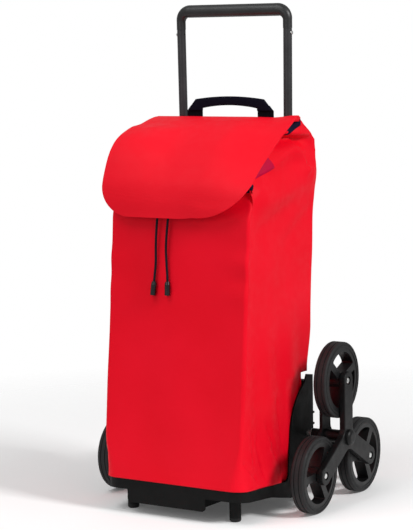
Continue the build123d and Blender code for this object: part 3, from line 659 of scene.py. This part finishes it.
def sleeve_grid(side, heights, out_n=26, corner_n=6, rear_n=18, wall_n=9):
    """The rear corner that goes round the frame tube, from the side's back seam to the middle back panel."""
    columns = []
    for z in heights:
        back = max(rear_y(z), BAG_BACK_Y + 0.3)
        depth = back - BAG_BACK_Y
        r = min(REAR_CORNER_R, depth * 0.45)
        r_in = min(7.0, depth * 0.3)
        path = []
        y = np.linspace(BAG_BACK_Y, back - r, out_n)
        for value in y[:-1]:
            path.append((BAG_X + float(side_folds(np.array(value), np.array(z), side)), value))
        edge_fold = float(side_folds(np.array(back - r), np.array(z), side))
        for turn in np.linspace(0, math.pi / 2, corner_n)[:-1]:
            edge_x = BAG_X + edge_fold * math.cos(turn) - r + r * math.cos(turn)
            path.append((edge_x, back - r + r * math.sin(turn)))
        for value in np.linspace(BAG_X - r, SLEEVE_IN_X + r_in, rear_n)[:-1]:
            across = (value - SLEEVE_IN_X) / (BAG_X - SLEEVE_IN_X)
            path.append((value, back + 0.96 * math.sin(math.pi * across) * min(1, depth / 30)))
        for turn in np.linspace(0, math.pi / 2, 5)[:-1]:
            path.append((SLEEVE_IN_X + r_in - r_in * math.sin(turn), back - r_in + r_in * math.cos(turn)))
        for value in np.linspace(back - r_in, BAG_BACK_Y + r_in, wall_n)[:-1]:
            path.append((SLEEVE_IN_X, value))
        for turn in np.linspace(0, math.pi / 2, 5):
            path.append((SLEEVE_IN_X - r_in + r_in * math.cos(turn),
                         BAG_BACK_Y + r_in - r_in * math.sin(turn)))
        columns.append([(side * px, py, z) for px, py in path])
    return np.array(columns)


def skin_levels():
    """Shares of the height, closer together near the top, one of them exactly at the sleeves' hem."""
    low = np.linspace(0, 0.86, 150)[:-1]
    high = np.linspace(0.86, 1, 60)
    levels = np.concatenate([low, high])
    bottom = rim_height(BAG_BACK_Y) + 0.6
    top = float(mouth_height(np.array(BAG_BACK_Y)))
    hem = (HEM_Z - bottom) / (top - bottom)
    levels[np.argmin(abs(levels - hem))] = hem
    return levels, bottom + levels * (top - bottom)


def in_order(grid, side):
    """Left-hand grids are mirrored, so their columns are turned round to keep the faces outward."""
    return grid if side > 0 else grid[:, ::-1]


levels, back_heights = skin_levels()
hem_row = int(np.argmin(abs(back_heights - HEM_Z)))
walls = {side: wall_grid(side, levels) for side in (-1, 1)}
sleeves = {side: sleeve_grid(side, back_heights[hem_row:]) for side in (-1, 1)}


def back_grids():
    """The middle back panel, and the strips beside it below the sleeves."""
    made = []
    inner = {side: sleeves[side][:, -1] for side in (-1, 1)}
    top = []
    for row, z in enumerate(back_heights):
        k = max(row - hem_row, 0)
        right, left = inner[1][k][0], inner[-1][k][0]
        x = np.linspace(right, left, 40)
        top.append([(px, BAG_BACK_Y, z) for px in x])
    made.append(np.array(top))
    for side in (1, -1):
        start = walls[side][:hem_row + 1, -1]
        end_x = inner[side][0][0]
        strip = []
        for row, point in enumerate(start):
            x = np.linspace(point[0], end_x, 12)
            strip.append([(px, BAG_BACK_Y, back_heights[row]) for px in x])
        made.append(in_order(np.array(strip), side))
    return made


def foot_outward(side):
    """Level outward directions along the wall's lower edge."""
    turn = (np.clip(WALL_SHARE, 1, 2) - 1) * math.pi / 2
    return np.stack([side * np.sin(turn), -np.cos(turn), np.zeros_like(turn)], axis=1)


def tuck_under(grid, side):
    """Rows under the wall's lower edge, which turn in over the tray's rim."""
    edge = grid[0]
    normal = foot_outward(side)
    rows = []
    for inward, down in ((9.0, 0.6), (3.0, 0.0), (1.0, -0.1)):
        rows.append(edge - normal * inward + np.array([0, 0, down]))
    return np.array(rows + [edge])


def make_skin():
    grids = []
    for side in (1, -1):
        grids.append(in_order(walls[side], side))
        grids.append(in_order(sleeves[side], side))
        grids.append(in_order(tuck_under(walls[side], side), side))
    grids.extend(back_grids())
    mesh = grid_mesh("bag_skin", grids)
    skin = add_piece("bag_skin", mesh, bag_red, "frame")
    thicken(skin, SKIN_T)
    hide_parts("bag_shell", "bag_sleeve_left", "bag_sleeve_right")


FOOT_INSET = 11.0


def make_lining():
    """The inside face of the bag, down to the board on the tray's floor."""
    inset = 2.6
    loops = []
    for side in (1, -1):
        grid = walls[side][::3, ::3]
        normal = grid_normals(grid) * (1 if side > 0 else -1)
        inner = grid - normal * inset
        inner[..., 0] = side * np.minimum(abs(inner[..., 0]), BAG_X - inset)
        inner[..., 1] = np.clip(inner[..., 1], TRAY_FRONT_Y + 6.5, BAG_BACK_Y - inset)
        floor = TRAY_FLOOR_Z - LEAN * (inner[0, :, 1] - TRAY_FRONT_Y) + 4.2
        foot = grid[0] - foot_outward(side)[::3] * FOOT_INSET
        foot[:, 2] = floor
        sill = foot.copy()
        sill[:, 2] = grid[0, :, 2] + 1.5
        inner = np.concatenate([foot[None], sill[None], inner[3:]])
        loops.append(in_order(inner, side))
    rows = loops[0].shape[0]
    back = []
    for row in range(rows):
        a, b = loops[0][row, -1], loops[1][row, 0]
        back.append([a + (b - a) * t for t in np.linspace(0, 1, 30)])
    mesh = grid_mesh("bag_lining", loops + [np.array(back)])
    thicken(add_piece("bag_lining", mesh, lining_red, "frame"), 0.7)


make_skin()
make_lining()


# ---- bag: binding, yoke, collars ----


def mouth_edge():
    """The mouth's edge from the left rear corner round the front to the right rear corner, with the
    direction down the cloth and the direction out of it at each point."""
    edge, down, out = [], [], []
    for side in (-1, 1):
        grid = walls[side]
        top = grid[-1]
        fall = grid[-7] - grid[-1]
        fall /= np.linalg.norm(fall, axis=1, keepdims=True)
        away = grid_normals(grid)[-2] * (1 if side > 0 else -1)
        away -= (away * fall).sum(1)[:, None] * fall
        away /= np.linalg.norm(away, axis=1, keepdims=True)
        if side < 0:
            top, fall, away = top[::-1], fall[::-1], away[::-1]
        else:
            top, fall, away = top[1:], fall[1:], away[1:]
        edge.append(top)
        down.append(fall)
        out.append(away)
    return np.concatenate(edge), np.concatenate(down), np.concatenate(out)


def make_binding():
    """Navy tape folded over the mouth's raw edge."""
    edge, down, out = mouth_edge()
    section = [(1.3, 11.5), (1.6, 8.0), (1.6, 2.0), (1.0, -0.6), (-1.8, -1.6), (-4.2, -0.6), (-5.0, 2.0),
               (-5.0, 8.0), (-4.6, 11.5), (-3.6, 11.5), (-3.6, 3.0), (0.1, 3.0), (0.1, 11.5)]
    rows = []
    for along, (away, drop) in enumerate(section):
        ruffle = 0.25 * np.sin(np.arange(len(edge)) * 0.9) * (1 if drop > 6 else 0)
        rows.append(edge + out * (away + ruffle[:, None]) + down * drop)
    grid = np.array(rows).transpose(1, 0, 2)
    mesh = grid_mesh("mouth_tape", [grid], closed_across=True)
    cap_ends(mesh)
    tape = add_piece("mouth_tape", mesh, binding_navy, "frame")
    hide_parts("mouth_binding")


def rounded_section(width, height, radius, corner_n=4):
    """A closed rounded rectangle about (0, 0)."""
    points = []
    for quarter, (sx, sy) in enumerate(((1, 1), (-1, 1), (-1, -1), (1, -1))):
        for step in range(corner_n + 1):
            turn = (quarter + step / corner_n) * math.pi / 2
            points.append((sx * (width / 2 - radius) + radius * math.cos(turn),
                           sy * (height / 2 - radius) + radius * math.sin(turn)))
    return points


def corner_lift(x):
    """The top of the bag stands up a little towards its rear right corner."""
    return 5.5 * smooth_step((x - 100) / 60)


def make_yoke():
    """The narrow fixed panel across the top, behind the mouth, which carries the flap and the strap."""
    width, height = 27.5, 3.4
    section = rounded_section(width, height, 1.6)
    middle_y = BAG_BACK_Y + 1.5 - width / 2
    stations = np.linspace(-BAG_X - 0.5, BAG_X + 0.5, 60)
    rows = []
    for x in stations:
        ripple = 0.3 * math.sin(x / 17)
        lift = corner_lift(x)
        low = YOKE_Z - 1.2 + ripple
        rows.append([(x, middle_y + a, low + b + (lift if b > 0 else 0)) for a, b in section])
    mesh = grid_mesh("bag_yoke", [np.array(rows)], closed_across=True)
    cap_ends(mesh)
    add_piece("bag_yoke", mesh, bag_red, "frame")


def ring_mesh(name, centre, normal, radius, tube_radius, stretch=(1.0, 1.0), around=40, section_n=10):
    """A soft ring about centre, square to normal."""
    normal = Vector(normal).normalized()
    first = Vector((1, 0, 0))
    second = normal.cross(first).normalized()
    rows = []
    for turn in np.linspace(0, 2 * math.pi, around, endpoint=False):
        out = first * math.cos(turn) * stretch[0] + second * math.sin(turn) * stretch[1]
        row = []
        for s in np.linspace(0, 2 * math.pi, section_n, endpoint=False):
            reach = radius + tube_radius * math.cos(s)
            row.append(tuple(Vector(centre) + out * reach + normal * tube_radius * math.sin(s)))
        rows.append(row)
    rows.append(rows[0])
    return grid_mesh(name, [np.array(rows)], closed_across=True)


COLLAR_Z = 760.0                 # where the tubes leave the sleeves
COLLAR_FACES = (0, 0.58, 0.81)   # the shoulder there slopes to the rear


def make_collars():
    """Bound holes where the frame tubes leave the sleeves, and the sleeves' lower hems."""
    for side, label in ((-1, "left"), (1, "right")):
        place = (side * (TUBE_X + TUBE_SPLAY * (COLLAR_Z - AXLE_Z)), AXLE_Y, COLLAR_Z + 2.8)
        mesh = ring_mesh(f"tube_collar_{label}", place, COLLAR_FACES, TUBE_R + 1.5, 1.7, (1.0, 1.16))
        add_piece(f"tube_collar_{label}", mesh, bag_red, "frame")
        hem = sleeves[side][0]
        rows = []
        for point in hem:
            rows.append([(point[0], point[1], HEM_Z - 1.2), (point[0], point[1], HEM_Z + 9)])
        loop = np.array(rows)
        centre = np.array([side * 130.0, 49.0])
        away = loop[:, :, :2] - centre
        away /= np.linalg.norm(away, axis=2, keepdims=True)
        loop[:, :, :2] += away * 0.9
        strip = in_order(loop.transpose(1, 0, 2), side)
        mesh = grid_mesh(f"sleeve_hem_{label}", [strip])
        thicken(add_piece(f"sleeve_hem_{label}", mesh, bag_red, "frame"), 1.6)


make_binding()
make_yoke()
make_collars()

# ---- flap ----
FLAP_PROFILE = ((26.0, 771.2), (22.6, 774.7), (14, 775.0), (-18, 771), (-60, 759), (-101, 737), (-138.5, 711),
                (-168, 681), (-188, 651), (-195.5, 625), (-197, 589))
FLAP_T = 2.2
LEFT_CORNER_R = 62.0
RIGHT_CORNER_R = 104.0
DROOP = 29.0
DROOP_LENGTH = 290.0
LEFT_PUFF = 23.0


def flap_profile(n=900):
    """The flap's side view as evenly spaced points, with the arc length of each."""
    given = np.array(FLAP_PROFILE, float)
    steps = np.concatenate([[0], np.cumsum(np.linalg.norm(np.diff(given, axis=0), axis=1))])
    at = np.linspace(0, steps[-1], n)
    y = smooth_curve(steps, given[:, 0], at)
    z = smooth_curve(steps, given[:, 1], at)
    length = np.concatenate([[0], np.cumsum(np.hypot(np.diff(y), np.diff(z)))])
    return y, z, length


def flap_half_width(from_hem, radius, full):
    """Distance from the middle to the side edge at this distance from the hem, round the hem's corner."""
    inside = np.clip(radius - from_hem, 0, radius)
    return full - radius + np.sqrt(np.maximum(radius ** 2 - inside ** 2, 0))


def flap_grid(rows_n=120, columns_n=96, corner_rows=45):
    """The flap's outer face: rows from the rear edge to the hem, columns from left to right."""
    y, z, length = flap_profile()
    total = length[-1]
    straight = total - RIGHT_CORNER_R
    u = np.concatenate([
        np.linspace(0, straight, rows_n - corner_rows + 1)[:-1],
        straight + RIGHT_CORNER_R * np.sin(np.linspace(0, math.pi / 2, corner_rows)),
    ])
    v = np.linspace(-1, 1, columns_n)
    full = FLAP_X
    right = flap_half_width(total - u, RIGHT_CORNER_R, full)
    left = flap_half_width(total - u, LEFT_CORNER_R, full)
    x = np.where(v[None] > 0, v[None] * right[:, None], v[None] * left[:, None])
    yy = np.repeat(np.interp(u, length, y)[:, None], columns_n, axis=1)
    zz = np.repeat(np.interp(u, length, z)[:, None], columns_n, axis=1)
    reach = smooth_step((x - 48) / (full - 30))
    hang = np.sin(np.clip(math.pi * u / DROOP_LENGTH, 0, math.pi))[:, None]
    zz = zz - DROOP * hang * reach
    x = x - 4.0 * hang * reach
    lift = smooth_step((u - 285) / 30)[:, None] * smooth_step((x - 10) / 50) * 4.0
    zz = zz + lift
    yy = yy - lift * 0.8
    # the rear right corner is held a little in and up, the left edge sags less
    rear = bell(u, 26.0)[:, None] * smooth_step((x - 120) / 45)
    zz = zz + corner_lift(x) * bell(u, 75.0)[:, None]
    x = x - 4.5 * rear
    reach_left = smooth_step((-x - 70) / 95)
    zz = zz - 3.0 * np.sin(np.clip(math.pi * u / 300, 0, math.pi))[:, None] * reach_left
    grid = np.stack([x, yy, zz], axis=2)
    away = grid_normals(grid)
    away = away * np.sign(away[..., 2].mean())
    # the left side stands up over the mouth's corner
    along = (bell(u - 172, 76.0) * smooth_step((u - 62) / 50))[:, None]
    puff = LEFT_PUFF * along * smooth_step((-x - 20) / 130)
    grid = grid + away * puff[..., None]
    ripple = soft_waves(x, u[:, None] * np.ones_like(x), 21, size=170.0) * smooth_step(u / 50)[:, None]
    return grid + away * (0.9 * ripple)[..., None]


def make_flap():
    mesh = grid_mesh("flap_cloth", [flap_grid()[:, ::-1]])
    if sum(p.normal.z for p in mesh.polygons) < 0:
        mesh.flip_normals()
    # the flap's paler red is painted sheen on the same cloth as the bag
    flap = add_piece("flap_cloth", mesh, flap_red_painted_sheen, None)
    thicken(flap, FLAP_T, 0.7)
    bpy.context.view_layer.objects.active = flap
    for modifier in list(flap.modifiers):
        bpy.ops.object.modifier_apply(modifier=modifier.name)
    for polygon in flap.data.polygons:
        polygon.use_smooth = True
    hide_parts("flap")
    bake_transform(flap)


make_flap()

# ---- carry strap ----
LEG_OUT_X = 101.0
LEG_IN_X = 64.0
WEB_T = 1.3
LEG_TOP_Z = 787.0


def strap_line(points, crest, n_curve=24):
    """A strap edge from the right leg's foot over the crown's middle to the left leg's foot."""
    side = list(points)
    (x0, z0), z_top = side[-1], crest
    curve = []
    for t in np.linspace(1, -1, 2 * n_curve + 1)[1:-1]:
        curve.append((x0 * t, z_top - (z_top - z0) * t * t))
    return np.array(side + curve + [(-x, z) for x, z in reversed(side)])


def resample(line, n):
    steps = np.concatenate([[0], np.cumsum(np.linalg.norm(np.diff(line, axis=0), axis=1))])
    at = np.linspace(0, steps[-1], n)
    return np.stack([np.interp(at, steps, line[:, 0]), np.interp(at, steps, line[:, 1])], axis=1)


def strip_solid(name, outer, inner, thick, middle_y, across_n=9, puff=0.0):
    """A closed flat band between two edge lines, in the plane y = middle_y, thinner towards its edges."""
    shares = np.linspace(0, 1, across_n)
    rows = []
    for o, i in zip(outer, inner):
        row = []
        for face in (1, -1):
            for s in (shares if face > 0 else shares[::-1]):
                x, z = o + (i - o) * s
                swell = thick / 2 * (1 - 0.75 * abs(2 * s - 1) ** 6) + puff * math.sin(math.pi * s)
                row.append((x, middle_y - face * swell, z))
        rows.append(row)
    mesh = grid_mesh(name, [np.array(rows)], closed_across=True, merge=0.005)
    cap_ends(mesh)
    return mesh


def make_strap():
    middle_y = (strap_low[1] + strap_high[1]) / 2
    crest = strap_high[2]
    foot = strap_low[2]
    for side, label in ((-1, "left"), (1, "right")):
        outer = np.array([(side * LEG_OUT_X, z) for z in np.linspace(foot, LEG_TOP_Z, 9)]
                         + [(side * 99, 788.6), (side * 92, 797.0)])
        inner = np.array([(side * LEG_IN_X, z) for z in np.linspace(foot, LEG_TOP_Z, 9)]
                         + [(side * 63.6, 791.0), (side * 64.5, 796.5)])
        mesh = strip_solid(f"strap_leg_{label}", outer, inner, WEB_T, middle_y + 0.3)
        # the legs' darker navy is painted shade
        add_piece(f"strap_leg_{label}", mesh, leg_navy_painted_shade, "carry_strap")
    outer = resample(strap_line([(99.8, 786.6), (80, crest - 5.9)], crest), 81)
    inner = resample(strap_line([(63.4, 786.6), (63, 791.6)], crest - 18.1), 81)
    mesh = strip_solid("strap_crown", outer, inner, WEB_T * 2.1, middle_y - 0.6, 11, 0.35)
    crown = add_piece("strap_crown", mesh, strap_navy, "carry_strap")
    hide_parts("carry_strap")


make_strap()

# ---- tag ----
TAG_CORNERS = ((-76, 707), (-67, 681), (-141, 661), (-162, 658))
TAG_STANDS_OUT = 1.4


def make_tag():
    """A small blank woven label sewn to the side panel at the mouth."""
    made = bmesh.new()
    corners = [made.verts.new((0, y * MM, z * MM)) for y, z in TAG_CORNERS]
    made.faces.new(corners)
    bmesh.ops.bevel(made, geom=made.verts[:], offset=2.5 * MM, segments=4, affect="VERTICES", profile=0.5)
    bmesh.ops.triangulate(made, faces=made.faces)
    bmesh.ops.subdivide_edges(made, edges=made.edges, cuts=5, use_grid_fill=True)
    for v in made.verts:
        place = np.array(v.co.y / MM), np.array(v.co.z / MM)
        fold, pulled = float(side_folds(*place, 1)), float(pull_in(*place))
        v.co.x = (BAG_X + fold - pulled + TAG_STANDS_OUT) * MM
    bmesh.ops.recalc_face_normals(made, faces=made.faces)
    mesh = bpy.data.meshes.new("side_label")
    made.to_mesh(mesh)
    made.free()
    if sum(p.normal.x for p in mesh.polygons) < 0:
        mesh.flip_normals()
    tag = add_piece("side_label", mesh, tag_red, "frame")
    thicken(tag, 0.8)
    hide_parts("side_tag")


make_tag()

# ---- draw cords ----
CORD_ROUTES = {
    "left": (
        (-0.038, -0.172, 0.624), (-0.038, -0.181, 0.6232), (-0.0386, -0.1874, 0.616),
        (-0.0396, -0.1886, 0.598), (-0.043, -0.1896, 0.566), (-0.0446, -0.1906, 0.532), (-0.044, -0.1918, 0.502),
        (-0.0466, -0.1934, 0.476), (-0.0476, -0.1944, 0.464),
    ),
    "right": (
        (-0.014, -0.172, 0.624), (-0.014, -0.181, 0.6232), (-0.0142, -0.1874, 0.616),
        (-0.015, -0.1888, 0.597), (-0.019, -0.1898, 0.564), (-0.0218, -0.1904, 0.530), (-0.020, -0.1916, 0.500),
        (-0.0176, -0.1932, 0.477), (-0.0172, -0.1942, 0.465),
    ),
}


def make_cords():
    for label, route in CORD_ROUTES.items():
        curve = bpy.data.curves.new(f"draw_cord_{label}", "CURVE")
        curve.dimensions = "3D"
        spline = curve.splines.new("NURBS")
        spline.points.add(len(route) - 1)
        for point, place in zip(spline.points, route):
            point.co = (*place, 1)
        spline.order_u = 3
        spline.use_endpoint_u = True
        curve.resolution_u = 16
        curve.bevel_depth = CORD_D / 2 * MM
        curve.bevel_resolution = 6
        curve.use_fill_caps = True
        curve.materials.append(cord_navy)
        cord = bpy.data.objects.new(f"draw_cord_{label}", curve)
        bpy.context.scene.collection.objects.link(cord)
        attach(cord, "frame")
        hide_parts(f"cord_{label}")


make_cords()


# ---- studio ----


def area_light(name, place, aim, size, power):
    data = bpy.data.lights.new(name, "AREA")
    data.shape = "RECTANGLE"
    data.size, data.size_y = size
    data.energy = power
    light = bpy.data.objects.new(name, data)
    light.location = place
    light.rotation_euler = (Vector(aim) - Vector(place)).to_track_quat("-Z", "Y").to_euler()
    bpy.context.scene.collection.objects.link(light)


def fade_out(finish, near, far):
    """The floor melts into the white backdrop between two distances from the trolley."""
    length = finish.node("ShaderNodeVectorMath", operation="LENGTH")
    finish.wire(finish.place, length, 0)
    share = finish.spread(length.outputs["Value"], near, far)
    clear = finish.node("ShaderNodeBsdfTransparent")
    blend = finish.node("ShaderNodeMixShader")
    finish.wire(share, blend, 0)
    finish.tree.links.new(finish.shader.outputs[0], blend.inputs[1])
    finish.tree.links.new(clear.outputs[0], blend.inputs[2])
    finish.tree.links.new(blend.outputs[0], finish.tree.nodes["Material Output"].inputs["Surface"])


def make_studio():
    mesh = bpy.data.meshes.new("floor")
    mesh.from_pydata([(-30, -30, 0), (30, -30, 0), (30, 30, 0), (-30, 30, 0)], [], [(0, 1, 2, 3)])
    floor = bpy.data.objects.new("floor", mesh)
    bpy.context.scene.collection.objects.link(floor)
    paper = Finish("floor_paper", roughness=0.9, specular=0.1)
    patches = paper.spread(paper.noise(0.5), 0.3, 0.7)
    paper.colour(paper.mix(patches, (0.92, 0.92, 0.92, 1), (0.94, 0.94, 0.94, 1)))
    paper.shader.inputs["Emission Color"].default_value = (1, 1, 1, 1)
    paper.shader.inputs["Emission Strength"].default_value = 0.06
    fade_out(paper, 0.55, 1.5)
    mesh.materials.append(paper.material)
    world = bpy.data.worlds.new("studio")
    bpy.context.scene.world = world
    world.use_nodes = True
    nodes, links = world.node_tree.nodes, world.node_tree.links
    nodes.clear()
    out = nodes.new("ShaderNodeOutputWorld")
    seen = nodes.new("ShaderNodeBackground")
    seen.inputs["Strength"].default_value = 1.0
    seen.inputs["Color"].default_value = (1, 1, 1, 1)
    lit = nodes.new("ShaderNodeBackground")
    lit.inputs["Strength"].default_value = 0.40
    lit.inputs["Color"].default_value = (1, 1, 1, 1)
    ray = nodes.new("ShaderNodeLightPath")
    blend = nodes.new("ShaderNodeMixShader")
    links.new(ray.outputs["Is Camera Ray"], blend.inputs[0])
    links.new(lit.outputs[0], blend.inputs[1])
    links.new(seen.outputs[0], blend.inputs[2])
    links.new(blend.outputs[0], out.inputs["Surface"])
    centre = (0, 0, 0.5)
    area_light("key", (3.5, -0.4, 2.8), centre, (0.9, 0.9), 124)
    area_light("front", (-0.8, -4.0, 1.9), centre, (1.8, 1.4), 19)
    area_light("top", (-0.7, -1.7, 3.3), centre, (1.8, 1.8), 42)
    bpy.context.scene.view_settings.view_transform = "Standard"


make_studio()
